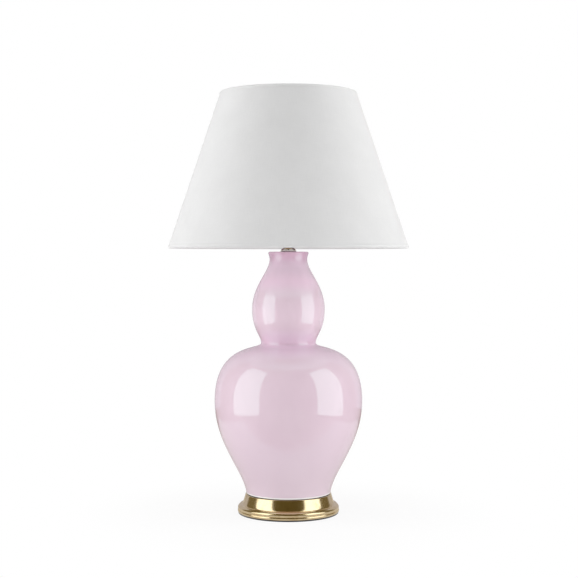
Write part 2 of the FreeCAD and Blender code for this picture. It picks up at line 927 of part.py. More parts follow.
def hem(end):
    """The fabric rolled round one edge: an outer band, the roll over the wire and a tucked end."""
    tuck = hem_round + hem_tuck
    return turned(
        from_edge(end, hem_band, 0),
        [from_edge(end, hem_band, hem_thickness)],
        [from_edge(end, hem_round, hem_thickness)],
        [from_edge(end, 0, hem_middle), from_edge(end, hem_round, hem_inside)],
        [from_edge(end, tuck, hem_inside)],
        [from_edge(end, hem_band, shade_inside - hem_thickness)],
        [from_edge(end, hem_band, shade_inside)],
        [from_edge(end, tuck, hem_inside + hem_thickness)],
        [from_edge(end, hem_round, hem_inside + hem_thickness)],
        [from_edge(end, hem_thickness, hem_middle), from_edge(end, hem_round, 0)],
    )


def spider_hub():
    return tube(hub_hole, hub_radius, hub_bottom, hub_top)


def straight_arm(radius):
    """A round bar from the hub to the middle of the top ring's wire, on the back."""
    ring_radius, ring_z = from_edge(1, hem_round, wire_depth)
    return bar(V(0, arm_start, hub_top + shade_wire / 2), V(0, ring_radius, ring_z), radius)


def spider_arms():
    """The wires from the hub up to the top ring, cut to lie against both."""
    arm = straight_arm(shade_wire).cut(shade_ring(1)).cut(spider_hub())
    arm = max(arm.Solids, key=lambda solid: solid.Volume)
    return Part.makeCompound(around(arm, arm_count))


def top_hem():
    """The hem round the top edge, notched where each arm reaches the ring."""
    shape = hem(1)
    for room in around(straight_arm(shade_wire + hair), arm_count):
        shape = shape.cut(room)
    return shape


# Finial

def finial_insert():
    """The threaded insert that rises on the stud, taken as plain inside and out."""
    return tube(insert_inner, insert_radius, finial_bottom, finial_bottom + insert_height)


def finial_knob():
    """A turned knob with a flat foot, a waist and a ball."""
    base_top = finial_bottom + finial_base_height
    waist_top = base_top + finial_waist_height
    top = finial_bottom + finial_height
    ball_middle = (waist_top + top) / 2
    hold = (top - ball_middle) * round_hold
    shape = turned(
        (0, finial_bottom),
        [(finial_base_radius, finial_bottom)],
        [(finial_base_radius, base_top)],
        [(finial_waist_radius, base_top + hold), (finial_waist_radius, waist_top - hold / 2),
         (finial_waist_radius, waist_top)],
        [(finial_ball_radius, waist_top), (finial_ball_radius, ball_middle - hold),
         (finial_ball_radius, ball_middle)],
        [(finial_ball_radius, ball_middle + hold), (finial_ball_radius * round_hold, top), (0, top)],
    )
    return shape.cut(disc(insert_radius + hair, finial_bottom, finial_bottom + insert_height + slip))


pieces = {
    "felt_pad": felt_pad(),
    "base_foot": base_foot(),
    "cord_bushing": cord_bushing(),
    "steel_washer": steel_washer(),
    "lock_washer": lock_washer(),
    "bottom_nut": bottom_nut(),
    "foot_gasket": foot_gasket(),
    "lamp_pipe": lamp_pipe(),
    "gourd_body": gourd_body(),
    "mouth_washer": mouth_washer(),
    "dome_cap": dome_cap(),
    "neck_ring": neck_ring(),
    "harp_saddle": harp_saddle(),
    "socket_cap": socket_cap(),
    "cap_screw": cap_screw(),
    "socket_shell": socket_shell(),
    "socket_paper": socket_paper(),
    "holder_block": holder_block(),
    "terminal_screws": terminal_screws(),
    "screw_shell": screw_shell(),
    "centre_tab": centre_tab(),
    "switch_shaft": switch_shaft(),
    "switch_knob": switch_knob(),
    "bulb_contact": bulb_contact(),
    "bulb_insulator": bulb_insulator(),
    "bulb_cap": bulb_cap(),
    "bulb_glass": bulb_glass(),
    "harp_hoop": harp_hoop(),
    "harp_feet": harp_feet(),
    "harp_seat": harp_seat(),
    "harp_stud": harp_stud(),
    "sleeve_left": sleeve(-1),
    "sleeve_right": sleeve(1),
    "spider_hub": spider_hub(),
    "spider_arms": spider_arms(),
    "shade_top_ring": shade_ring(1),
    "shade_bottom_ring": shade_ring(0),
    "shade_liner": shade_liner(),
    "shade_skin": shade_skin(),
    "shade_seam": shade_seam(),
    "top_hem": top_hem(),
    "bottom_hem": hem(0),
    "finial_insert": finial_insert(),
    "finial_knob": finial_knob(),
}

os.makedirs("parts", exist_ok=True)
for name, shape in pieces.items():
    shape.exportStep(f"parts/{name}.step")
    box = shape.BoundBox
    print(f"{name}: {len(shape.Solids)} solid, valid {shape.isValid()}, {shape.Volume:.1f} mm3,"
          f" z {box.ZMin:.2f} to {box.ZMax:.2f}, radius {max(box.XMax, box.YMax):.2f}")
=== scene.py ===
import json
import math

import bpy
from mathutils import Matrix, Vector


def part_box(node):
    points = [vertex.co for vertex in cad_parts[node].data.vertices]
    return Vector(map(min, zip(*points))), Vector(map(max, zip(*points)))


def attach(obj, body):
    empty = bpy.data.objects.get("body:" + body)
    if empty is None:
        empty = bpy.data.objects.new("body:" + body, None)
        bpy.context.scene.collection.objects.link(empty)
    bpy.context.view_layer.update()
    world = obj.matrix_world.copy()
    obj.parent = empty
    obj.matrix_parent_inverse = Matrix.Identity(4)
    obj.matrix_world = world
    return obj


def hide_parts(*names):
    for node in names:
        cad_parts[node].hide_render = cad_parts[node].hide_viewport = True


# Double gourd table lamp, in metres. +Z is up and +Y is the back, where the shade's seam is.

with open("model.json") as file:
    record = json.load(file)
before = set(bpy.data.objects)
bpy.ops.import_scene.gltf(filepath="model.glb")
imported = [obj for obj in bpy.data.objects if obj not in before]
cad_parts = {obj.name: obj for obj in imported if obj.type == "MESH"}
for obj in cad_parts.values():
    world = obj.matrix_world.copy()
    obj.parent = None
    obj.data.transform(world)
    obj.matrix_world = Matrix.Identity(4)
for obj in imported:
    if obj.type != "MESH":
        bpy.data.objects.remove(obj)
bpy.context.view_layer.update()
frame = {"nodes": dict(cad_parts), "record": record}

# Lathe
turns = 256                 # segments round the axis
curve_steps = 40            # points on each curve of a profile

# Gourd: radius and rise of each station, then how far each curve keeps its upright direction
gourd_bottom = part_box("gourd_body")[0].z
foot_radius = 0.0718
foot_round = 0.0015
foot_recess = 0.002
recess_radius = 0.0583
belly_radius = 0.1249
belly_rise = 0.1566
waist_radius = 0.0464
waist_rise = 0.0975
bulb_radius = 0.0614
bulb_rise = 0.0575
neck_radius = 0.0319
neck_rise = 0.0835
lip_radius = 0.0341
lip_rise = 0.0131
lip_round = 0.0024
pipe_hole = 0.00605
foot_hold, belly_low_hold = 0.225, 0.462
belly_high_hold, waist_low_hold = 1.017, 0.130
waist_high_hold, bulb_low_hold = 0.218, 0.627
bulb_high_hold, neck_low_hold = 0.477, 0.248
neck_high_hold, lip_hold = 0.4, 0.45
foot_flare = 0.09
lip_lean = 0.001

belly_z = gourd_bottom + belly_rise
waist_z = belly_z + waist_rise
bulb_z = waist_z + bulb_rise
neck_z = bulb_z + neck_rise
lip_z = neck_z + lip_rise

# Base
base_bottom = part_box("base_foot")[0].z
deck_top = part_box("base_foot")[1].z
base_lip_height = 0.004
base_lip_bulge = 0.0004
base_lip_low = (1.6, 0.25)  # the lip's lower handle: bulges out, and share of the lip's height
base_lip_high = (1.2, 0.3)  # its upper handle, down from the lip's top
groove_height = 0.0008
groove_depth = 0.0007
band_height = 0.0028
shoulder_rise = 0.0050
shoulder_run = 0.0035
shoulder_slope = 1.2        # drop per unit outwards at the shoulder's top
shoulder_hold = 0.45
ledge_run = 0.0035
ledge_rise = 0.0005
cove_rise = 0.0163
cove_run = 0.0058
cove_hold = 0.49
cove_lean = 0.0024          # how far the cove's upper handle leans out
cove_foot_hold = 0.27
cove_slope = 1.25           # drop per unit outwards at the cove's foot
collar_height = 0.001
collar_radius = 0.0728
base_wall = 0.0018
inside_draw = 1.2           # walls that the inside lies in from the cove's foot
inside_slope = 1.0
inside_hold = 0.4
bushing_hole = 0.00375
bushing_z = 0.0075
drill_overrun = 1.1         # how far the hole's cutter reaches, in radii of the band

cove_radius = collar_radius + cove_run
ledge_radius = cove_radius + ledge_run
band_radius = ledge_radius + shoulder_run

# Shade: its side slopes from the bottom edge to the top edge
shade_top_radius = 0.1143
shade_bottom_radius = 0.2032
shade_slant = 0.2776
shade_top = 0.7115
skin_thickness = 0.0006
liner_thickness = 0.0008
hem_thickness = 0.0005
hem_band = 0.0065
hem_round = 0.00295
hem_tuck = 0.0012
hem_inside = -0.0054        # depth of the tucked end's inner face at the wire
hem_middle = -0.00245       # depth of the wire's middle
hem_step = 0.0008           # from the hem's end to where it has its first share of thickness
hem_step_share = 0.45
hem_rise = 0.0022           # from the hem's end to where it has its whole thickness
roll_steps = 16             # segments of the roll over the wire
seam_half_width = 0.006
seam_thickness = 0.0004
seam_lift = 0.00002         # gap that keeps the seam's inner face off the cloth
seam_edge_drop = 0.00025    # how much thinner the seam is along its sides
seam_columns = 9
seam_rows = 25

shade_height = math.sqrt(shade_slant ** 2 - (shade_bottom_radius - shade_top_radius) ** 2)
shade_bottom = shade_top - shade_height
slope_r = (shade_top_radius - shade_bottom_radius) / shade_slant
slope_z = shade_height / shade_slant
shade_inside = -skin_thickness - liner_thickness

round_hold = 0.5523         # handle of a cubic curve that draws a quarter circle
sharp_angle = math.radians(40)

# Glaze: where it is deeper or paler, partly pooled glaze and partly painted light and shade
waist_pool_and_shade = 0.034          # reach of the deep tint above and below the waist, which is pooled glaze and painted shade
# Neck: a deeper tint that is pooled glaze and painted shade under the shade
neck_pool_and_shade_low = bulb_z + 0.035
neck_pool_and_shade_high = bulb_z + 0.075
# Painted light: the upper bulb is made paler where the shade above shades it
bulb_painted_light_middle = bulb_z + 0.01
bulb_painted_light_full = 0.015
bulb_painted_light_reach = 0.055
# Painted light on the upper bulb's top, under the shade
top_painted_light_middle = bulb_z + 0.047
top_painted_light_reach = 0.024
# Painted shade: darker towards the lip, under the shade's rim
lip_painted_shade_low = lip_z - 0.024
lip_painted_shade_high = lip_z - 0.002
# Pale foot rim: bare clay, and a painted highlight on the foot's rounded edge
bare_foot_and_glint_full = gourd_bottom + 0.0019
bare_foot_and_glint_end = gourd_bottom + 0.0032

# Shade's cloth
thread = 0.00085            # two threads of the weave


# Mesh helpers

def cubic(start, first, second, end, steps=curve_steps):
    """Points along a cubic curve, without its start."""
    points = []
    for index in range(1, steps + 1):
        t = index / steps
        s = 1 - t
        weights = (s ** 3, 3 * s * s * t, 3 * s * t * t, t ** 3)
        places = (start, first, second, end)
        points.append(tuple(sum(w * place[axis] for w, place in zip(weights, places)) for axis in (0, 1)))
    return points


def corner(start, apex, end, steps=6):
    """A rounded corner from start to end, whose straight sides would meet in apex."""
    first = tuple(a + (b - a) * round_hold for a, b in zip(start, apex))
    second = tuple(a + (b - a) * round_hold for a, b in zip(end, apex))
    return cubic(start, first, second, end, steps)


def turned(name, profile, body, slot, *replaced):
    """A solid of revolution from a closed profile of (radius, height)."""
    vertices = []
    for radius, height in profile:
        for index in range(turns):
            angle = 2 * math.pi * index / turns
            vertices.append((radius * math.cos(angle), radius * math.sin(angle), height))
    faces = []
    count = len(profile)
    for ring in range(count):
        low = ring * turns
        high = (ring + 1) % count * turns
        for index in range(turns):
            after = (index + 1) % turns
            faces.append((low + index, low + after, high + after, high + index))
    return dressed(name, vertices, faces, body, slot, *replaced)


def dressed(name, vertices, faces, body, slot, *replaced):
    """A mesh in its slot's material that rides on a body and stands for the CAD nodes it replaces."""
    mesh = bpy.data.meshes.new(name)
    mesh.from_pydata(vertices, [], faces)
    mesh.materials.append(materials[slot])
    mesh.shade_smooth()
    mesh.set_sharp_from_angle(angle=sharp_angle)
    piece = bpy.data.objects.new(name, mesh)
    bpy.context.scene.collection.objects.link(piece)
    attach(piece, body)
    if replaced:
        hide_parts(*replaced)
    return piece


# Shader helpers

class Surface:
    """A material round one Principled shader, with short calls for the nodes that feed it."""

    def __init__(self, name, **values):
        self.material = bpy.data.materials.new(name)
        self.material.use_nodes = True
        self.tree = self.material.node_tree
        self.shader = self.tree.nodes["Principled BSDF"]
        for key, value in values.items():
            self.shader.inputs[key.replace("_", " ")].default_value = value

    def node(self, kind, inputs, **settings):
        """A node, with its input sockets set or linked by number or name."""
        made = self.tree.nodes.new(kind)
        for key, value in settings.items():
            setattr(made, key, value)
        for key, value in inputs.items():
            if isinstance(value, bpy.types.NodeSocket):
                self.tree.links.new(value, made.inputs[key])
            else:
                made.inputs[key].default_value = value
        return made

    def place(self):
        """The place on the object, in metres."""
        return self.node("ShaderNodeTexCoord", {}).outputs["Object"]

    def math(self, operation, *values):
        inputs = dict(enumerate(values))
        return self.node("ShaderNodeMath", inputs, operation=operation).outputs[0]

    def split(self, vector):
        return self.node("ShaderNodeSeparateXYZ", {0: vector}).outputs

    def join(self, x, y, z):
        return self.node("ShaderNodeCombineXYZ", {0: x, 1: y, 2: z}).outputs[0]

    def stretch(self, vector, x, y, z):
        """A vector with each part scaled."""
        inputs = {0: vector, 1: (x, y, z)}
        return self.node("ShaderNodeVectorMath", inputs, operation="MULTIPLY").outputs[0]

    def noise(self, vector, scale, detail=2.0, roughness=0.5):
        inputs = {"Vector": vector, "Scale": scale, "Detail": detail, "Roughness": roughness}
        return self.node("ShaderNodeTexNoise", inputs).outputs[0]

    def span(self, value, source, target, smooth=False):
        """A value moved from one range to another, and kept in it."""
        inputs = dict(enumerate((value, *source, *target)))
        kind = "SMOOTHSTEP" if smooth else "LINEAR"
        return self.node("ShaderNodeMapRange", inputs, interpolation_type=kind, clamp=True).outputs[0]

    def blend(self, share, first, second):
        """A mix of two colours."""
        made = self.node("ShaderNodeMix", {0: share}, data_type="RGBA")
        for socket, colour in ((made.inputs[6], first), (made.inputs[7], second)):
            if isinstance(colour, bpy.types.NodeSocket):
                self.tree.links.new(colour, socket)
            else:
                socket.default_value = (*colour, 1)
        return made.outputs[2]

    def bump(self, height, distance, strength=1.0, over=None):
        """A bump of the given height in metres, on top of another."""
        inputs = {"Height": height, "Distance": distance, "Strength": strength}
        if over is not None:
            inputs["Normal"] = over
        return self.node("ShaderNodeBump", inputs).outputs[0]

    def feed(self, **links):
        """Links nodes to the shader's sockets."""
        for key, value in links.items():
            self.tree.links.new(value, self.shader.inputs[key.replace("_", " ")])
        return self.material

    def radius(self, parts):
        """Distance from the Z axis."""
        squares = [self.math("MULTIPLY", parts[axis], parts[axis]) for axis in (0, 1)]
        return self.math("SQRT", self.math("ADD", *squares))


# Materials

def glaze():
    """Clear gloss over a lilac-pink body. It is deeper at the waist and neck, where the glaze pools and
    painted shade darkens it. There is painted light on the upper bulb, painted shade towards the lip, and
    a pale foot that is bare clay and a painted highlight.
    """
    s = Surface("glaze", Roughness=0.015, IOR=1.9, Specular_Tint=(0.62, 1.0, 0.90, 1.0))
    place = s.place()
    height = s.split(place)[2]

    def zone(middle, full, reach, share):
        """A share round one height, whole as far as full and gone at reach."""
        away = s.math("ABSOLUTE", s.math("SUBTRACT", height, middle))
        return s.span(away, (full, reach), (share, 0), smooth=True)

    cloud = s.noise(place, scale=9.0, detail=3.0, roughness=0.55)
    cloud = s.span(cloud, (0.35, 0.65), (0, 1), smooth=True)
    clay = s.blend(cloud, (0.772, 0.604, 0.70), (0.786, 0.623, 0.715))
    # painted light: paler on the upper bulb, where the shade above shades it
    clay = s.blend(zone(bulb_painted_light_middle, bulb_painted_light_full, bulb_painted_light_reach, 0.85), clay, (0.86, 0.68, 0.785))
    # deeper at the waist and neck: pooled glaze and painted shade
    waist = zone(waist_z, 0.0, waist_pool_and_shade, 1)
    neck = s.span(height, (neck_pool_and_shade_low, neck_pool_and_shade_high), (0, 1), smooth=True)
    pooled_and_shaded = s.math("MULTIPLY", s.math("MAXIMUM", waist, neck), 0.8)
    colour = s.blend(pooled_and_shaded, clay, (0.79, 0.568, 0.714))
    # painted light: a brighter pink band on the upper bulb's top
    colour = s.blend(zone(top_painted_light_middle, 0.0, top_painted_light_reach, 0.7), colour, (0.93, 0.65, 0.82))
    # painted shade: darker towards the lip, under the shade's rim
    lip = s.span(height, (lip_painted_shade_low, lip_painted_shade_high), (0, 1))
    colour = s.blend(lip, colour, (0.67, 0.43, 0.57))
    # pale foot rim: bare clay, and a painted highlight
    bare_foot_and_glint = s.span(height, (bare_foot_and_glint_full, bare_foot_and_glint_end), (1, 0), smooth=True)
    colour = s.blend(bare_foot_and_glint, colour, (0.96, 0.92, 0.93))
    specks = s.span(s.noise(place, scale=900.0, detail=1.0), (0.76, 0.80), (0, 1))
    colour = s.blend(s.math("MULTIPLY", specks, 0.25), colour, (0.55, 0.40, 0.47))
    wave = s.bump(s.noise(place, scale=26.0, detail=2.0, roughness=0.4), distance=0.0006, strength=0.22)
    peel = s.bump(s.noise(place, scale=260.0, detail=1.0), distance=0.00001, strength=0.4, over=wave)
    return s.feed(Base_Color=colour, Normal=peel)


def brass(name, colour, dark, roughness):
    """Turned brass: fine rings round the axis, with soft patches of patina at random."""
    s = Surface(name, Metallic=1.0)
    place = s.place()
    parts = s.split(place)
    rings = s.join(s.radius(parts), 0.0, parts[2])
    fine = s.noise(rings, scale=5200.0, detail=2.0, roughness=0.6)
    broad = s.noise(rings, scale=900.0, detail=1.0)
    cloud = s.noise(place, scale=45.0, detail=4.0, roughness=0.6)
    tone = s.span(cloud, (0.42, 0.70), (0, 0.35), smooth=True)
    tone = s.math("ADD", tone, s.math("MULTIPLY", fine, 0.12))
    rough = s.math("ADD", s.span(cloud, (0.3, 0.7), (roughness * 0.85, roughness * 1.2)),
                   s.math("MULTIPLY", broad, roughness * 0.25))
    cut = s.bump(fine, distance=0.00002, strength=0.5)
    return s.feed(Base_Color=s.blend(tone, colour, dark), Roughness=rough, Normal=cut)


def weave_place(s):
    """The place on the shade's cloth laid flat, with the seam at its two ends."""
    parts = s.split(s.place())
    apex = shade_bottom_radius / -slope_r
    along = s.math("DIVIDE", s.math("SUBTRACT", parts[2], shade_bottom), slope_z)
    reach = s.math("SUBTRACT", apex, along)
    back = s.math("MULTIPLY", parts[1], -1.0)
    turn = s.math("MULTIPLY", s.math("ARCTAN2", parts[0], back), -slope_r)
    across = s.math("MULTIPLY", reach, s.math("SINE", turn))
    down = s.math("MULTIPLY", reach, s.math("COSINE", turn))
    return across, down


def fabric(name, light, shade):
    """Fine plain weave, with slubs along both threads."""
    s = Surface(name, Roughness=0.85, Specular_IOR_Level=0.25, Sheen_Weight=0.35, Sheen_Roughness=0.5)
    across, down = weave_place(s)
    warp = s.math("SINE", s.math("MULTIPLY", across, 2 * math.pi / thread))
    weft = s.math("SINE", s.math("MULTIPLY", down, 2 * math.pi / thread))
    over = s.math("MULTIPLY", warp, weft)
    flat = s.join(across, down, 0.0)
    slub_up = s.noise(s.stretch(flat, 1400.0, 55.0, 1.0), scale=1.0, detail=2.0)
    slub_side = s.noise(s.stretch(flat, 55.0, 1400.0, 1.0), scale=1.0, detail=2.0)
    slub = s.math("MULTIPLY", s.math("ADD", slub_up, slub_side), 0.5)
    cloud = s.noise(flat, scale=22.0, detail=3.0)
    tone = s.math("ADD", s.span(slub, (0.38, 0.62), (0, 0.6)), s.span(cloud, (0.35, 0.65), (0, 0.4)))
    cloth = s.math("ADD", s.math("MULTIPLY", over, 0.5), slub)
    relief = s.bump(cloth, distance=0.00012, strength=0.45)
    return s.feed(Base_Color=s.blend(tone, light, shade), Normal=relief)


def moulded(name, colour, second, roughness):
    """Moulded plastic or rubber with a faint grain."""
    s = Surface(name)
    place = s.place()
    cloud = s.noise(place, scale=60.0, detail=3.0)
    speck = s.noise(place, scale=2400.0, detail=2.0)
    rough = s.span(speck, (0.3, 0.7), (roughness * 0.9, roughness * 1.15))
    return s.feed(Base_Color=s.blend(cloud, colour, second), Roughness=rough,
                  Normal=s.bump(speck, distance=0.00002, strength=0.4))


def plated(name, colour, second, roughness):
    """Plated steel or tin with a soft mottle."""
    s = Surface(name, Metallic=1.0)
    place = s.place()
    mottle = s.noise(place, scale=220.0, detail=4.0, roughness=0.6)
    scratch = s.noise(s.stretch(place, 300.0, 300.0, 5000.0), scale=1.0, detail=2.0)
    rough = s.span(mottle, (0.3, 0.7), (roughness * 0.8, roughness * 1.25))
    return s.feed(Base_Color=s.blend(mottle, colour, second), Roughness=rough,
                  Normal=s.bump(scratch, distance=0.00001, strength=0.4))


def felt():
    """Dense black felt with short stray fibres."""
    s = Surface("felt", Roughness=0.95, Specular_IOR_Level=0.15, Sheen_Weight=0.5, Sheen_Roughness=0.6)
    place = s.place()
    fibre = s.noise(s.stretch(place, 900.0, 2600.0, 900.0), scale=1.0, detail=3.0, roughness=0.7)
    mat = s.noise(place, scale=700.0, detail=4.0, roughness=0.7)
    tone = s.span(s.math("ADD", fibre, mat), (0.8, 1.25), (0, 1))
    return s.feed(Base_Color=s.blend(tone, (0.012, 0.012, 0.013), (0.035, 0.034, 0.034)),
                  Normal=s.bump(mat, distance=0.0003, strength=0.6))


def frosted_glass():
    """A bulb that is frosted white inside its clear glass."""
    s = Surface("bulb_glass", Roughness=0.35, Coat_Weight=1.0, Coat_Roughness=0.05,
                Subsurface_Weight=0.4, Subsurface_Radius=(0.004, 0.004, 0.004), Subsurface_Scale=1.0)
    place = s.place()
    cloud = s.noise(place, scale=40.0, detail=3.0)
    ripple = s.noise(place, scale=90.0, detail=1.0)
    return s.feed(Base_Color=s.blend(cloud, (0.82, 0.82, 0.80), (0.87, 0.87, 0.86)),
                  Normal=s.bump(ripple, distance=0.0001, strength=0.15))


def paper():
    """Brown insulating paper with its fibres."""
    s = Surface("paper", Roughness=0.8)
    place = s.place()
    fibre = s.noise(s.stretch(place, 500.0, 500.0, 2200.0), scale=1.0, detail=4.0, roughness=0.65)
    return s.feed(Base_Color=s.blend(fibre, (0.20, 0.12, 0.06), (0.34, 0.22, 0.12)),
                  Normal=s.bump(fibre, distance=0.00006, strength=0.5))


materials = {
    "glaze": glaze(),
    "brass": brass("brass", (0.90, 0.78, 0.53), (0.60, 0.44, 0.20), 0.14),
    "polished_nickel": plated("polished_nickel", (0.76, 0.73, 0.72), (0.68, 0.65, 0.64), 0.08),
    "fitting_brass": brass("fitting_brass", (0.80, 0.62, 0.34), (0.50, 0.35, 0.16), 0.28),
    "felt": felt(),
    "rubber": moulded("rubber", (0.02, 0.02, 0.02), (0.03, 0.03, 0.03), 0.6),
    "steel": plated("steel", (0.62, 0.62, 0.61), (0.48, 0.49, 0.50), 0.3),
    "paper": paper(),
    "phenolic": moulded("phenolic", (0.012, 0.012, 0.012), (0.02, 0.018, 0.016), 0.25),
    "bushing_plastic": moulded("bushing_plastic", (0.018, 0.018, 0.018), (0.028, 0.028, 0.028), 0.45),
    "bulb_metal": plated("bulb_metal", (0.78, 0.78, 0.77), (0.66, 0.66, 0.66), 0.25),
    "bulb_glass": frosted_glass(),
    "shade_fabric": fabric("shade_fabric", (0.70, 0.70, 0.70), (0.66, 0.66, 0.66)),
    "shade_liner": moulded("shade_liner", (0.88, 0.88, 0.86), (0.85, 0.85, 0.83), 0.45),
    "spider_wire": moulded("spider_wire", (0.74, 0.74, 0.72), (0.70, 0.70, 0.68), 0.35),
}


# Gourd

def gourd_profile():
    """The gourd's outline from the foot's rim up to the lip, then down the pipe's hole."""
    foot_reach = belly_rise * foot_hold
    points = [
        (pipe_hole, gourd_bottom + foot_recess),
        (recess_radius, gourd_bottom + foot_recess),
        (recess_radius, gourd_bottom),
        (foot_radius - foot_round, gourd_bottom),
    ]
    points += corner(points[-1], (foot_radius, gourd_bottom), (foot_radius, gourd_bottom + foot_round))
    stations = [
        [(foot_radius + foot_reach * foot_flare, gourd_bottom + foot_reach),
         (belly_radius, belly_z - belly_rise * belly_low_hold), (belly_radius, belly_z)],
        [(belly_radius, belly_z + waist_rise * belly_high_hold),
         (waist_radius, waist_z - waist_rise * waist_low_hold), (waist_radius, waist_z)],
        [(waist_radius, waist_z + bulb_rise * waist_high_hold),
         (bulb_radius, bulb_z - bulb_rise * bulb_low_hold), (bulb_radius, bulb_z)],
        [(bulb_radius, bulb_z + neck_rise * bulb_high_hold),
         (neck_radius, neck_z - neck_rise * neck_low_hold), (neck_radius, neck_z)],
        [(neck_radius, neck_z + lip_rise * neck_high_hold),
         (lip_radius - lip_lean, lip_z - lip_rise * lip_hold), (lip_radius, lip_z - lip_round)],
    ]
    for station in stations:
        points += cubic(points[-1], *station)
    points += corner(points[-1], (lip_radius, lip_z), (lip_radius - lip_round, lip_z))
    points.append((pipe_hole, lip_z))
    return points


turned("gourd", gourd_profile(), "lamp_body", "glaze", "gourd_body")


# Base

def sweep(start, end, slope, hold, steps):
    """A curve out and down to an upright end, from a start that drops by slope per unit outwards."""
    ease = (end[0] - start[0]) * hold
    first = (start[0] + ease, start[1] - ease * slope)
    second = (end[0], end[1] + (start[1] - end[1]) * hold)
    return cubic(start, first, second, end, steps)


def base_profile():
    """The base's outline: lip, groove, band, shoulder, ledge, cove and deck, then its inside."""
    groove_bottom = base_bottom + base_lip_height
    band_bottom = groove_bottom + groove_height
    band_top = band_bottom + band_height
    shoulder_top = band_top + shoulder_rise
    cove_bottom = shoulder_top + ledge_rise
    cove_top = cove_bottom + cove_rise
    deck_bottom = deck_top - base_wall
    collar = (collar_radius, cove_top)
    cove_foot = (cove_radius, cove_bottom)
    shoulder = (ledge_radius, shoulder_top)
    band = (band_radius, band_top)
    wall_low = band_radius - base_wall - groove_depth

    low_out, low_up = base_lip_low
    high_out, high_down = base_lip_high
    lip_low = (band_radius + base_lip_bulge * low_out, base_bottom + base_lip_height * low_up)
    lip_high = (band_radius + base_lip_bulge * high_out, groove_bottom - base_lip_height * high_down)
    groove_radius = band_radius - groove_depth
    points = [(wall_low, base_bottom), (band_radius - base_lip_bulge, base_bottom)]
    points += cubic(points[-1], lip_low, lip_high, (band_radius, groove_bottom), steps=12)
    groove_middle = groove_bottom + groove_height / 2
    points += corner(points[-1], (groove_radius, groove_bottom), (groove_radius, groove_middle), steps=4)
    points += corner(points[-1], (groove_radius, band_bottom), (band_radius, band_bottom), steps=4)
    flank = sweep(shoulder, band, shoulder_slope, shoulder_hold, steps=24)
    points += [band] + flank[-2::-1] + [shoulder]
    ease = cove_run * cove_foot_hold
    points.append(cove_foot)
    points += cubic(cove_foot, (cove_radius - ease, cove_bottom + ease * cove_slope),
                    (collar_radius + cove_lean, cove_top - cove_rise * cove_hold), collar, steps=32)
    points += corner(points[-1], (collar_radius, deck_top), (collar_radius - collar_height, deck_top))
    points += [(pipe_hole, deck_top), (pipe_hole, deck_bottom),
               (collar_radius - collar_height - base_wall, deck_bottom)]
    inside_foot = (cove_radius - base_wall * inside_draw, cove_bottom - base_wall)
    points += sweep(inside_foot, (wall_low, band_top), inside_slope, inside_hold, steps=12)
    return points


def with_hole(piece, start, end, radius, sides=48):
    """Cuts a round hole through a piece, from one point to another."""
    along = (end - start).normalized()
    across = along.orthogonal().normalized()
    other = along.cross(across)
    vertices = []
    for middle in (start, end):
        for index in range(sides):
            turn = 2 * math.pi * index / sides
            vertices.append(middle + (across * math.cos(turn) + other * math.sin(turn)) * radius)
    faces = [(i, (i + 1) % sides, sides + (i + 1) % sides, sides + i) for i in range(sides)]
    faces += [tuple(range(sides))[::-1], tuple(range(sides, 2 * sides))]
    mesh = bpy.data.meshes.new("hole")
    mesh.from_pydata(vertices, [], faces)
    drill = bpy.data.objects.new("hole", mesh)
    bpy.context.scene.collection.objects.link(drill)
    cut = piece.modifiers.new("hole", "BOOLEAN")
    cut.object = drill
    cut.operation = "DIFFERENCE"
    cut.solver = "EXACT"
    drilled = bpy.data.meshes.new_from_object(piece.evaluated_get(bpy.context.evaluated_depsgraph_get()))
    piece.modifiers.clear()
    bpy.data.objects.remove(drill)
    piece.data = drilled
    drilled.set_sharp_from_angle(angle=sharp_angle)


base = turned("base", base_profile(), "lamp_body", "brass", "base_foot")
drill_start = Vector((0, collar_radius, bushing_z))
drill_end = Vector((0, band_radius * drill_overrun, bushing_z))
with_hole(base, drill_start, drill_end, bushing_hole)


# Shade

def on_side(along, out):
    """A place on the shade's side: along from its bottom edge, and out from its outer face."""
    radius = shade_bottom_radius + slope_r * along + slope_z * out
    height = shade_bottom + slope_z * along - slope_r * out
    return (radius, height)


def side_run(low, high, out, steps=24):
    """Places along the shade's side at one depth."""
    return [on_side(low + (high - low) * index / steps, out) for index in range(steps + 1)]


skin_profile = side_run(hem_round, shade_slant - hem_round, 0.0)
skin_profile += side_run(shade_slant - hem_round, hem_round, -skin_thickness)
skin = turned("shade_cloth", skin_profile, "shade", "shade_fabric", "shade_skin")


def from_edge(end, inward, out):
    """A place near the shade's bottom edge (end 0) or top edge (end 1), inward from that edge."""
    along = inward if end == 0 else shade_slant - inward
    return on_side(along, out)


def hem_profile(end):
    """The cloth rolled round one edge: an outer band, the roll over the wire and a tucked end."""
    tuck = hem_round + hem_tuck
    points = [
        from_edge(end, hem_band, 0.0),
        from_edge(end, hem_band - hem_step, hem_thickness * hem_step_share),
        from_edge(end, hem_band - hem_rise, hem_thickness),
        from_edge(end, tuck, hem_thickness),
    ]
    half = hem_thickness - hem_middle
    for index in range(roll_steps + 1):
        turn = math.pi * index / roll_steps
        points.append(from_edge(end, hem_round - hem_round * math.sin(turn),
                                hem_middle + half * math.cos(turn)))
    points += [
        from_edge(end, tuck, hem_inside),
        from_edge(end, hem_band, shade_inside - hem_thickness),
        from_edge(end, hem_band, shade_inside),
        from_edge(end, tuck, hem_inside + hem_thickness),
    ]
    inner = half - hem_thickness
    for index in range(roll_steps + 1):
        turn = math.pi * (1 - index / roll_steps)
        points.append(from_edge(end, hem_round - (hem_round - hem_thickness) * math.sin(turn),
                                hem_middle + inner * math.cos(turn)))
    return points


hems = [
    turned("bottom_edge", hem_profile(0), "shade", "shade_fabric", "bottom_hem"),
    turned("top_edge", hem_profile(1), "shade", "shade_fabric", "top_hem"),
]


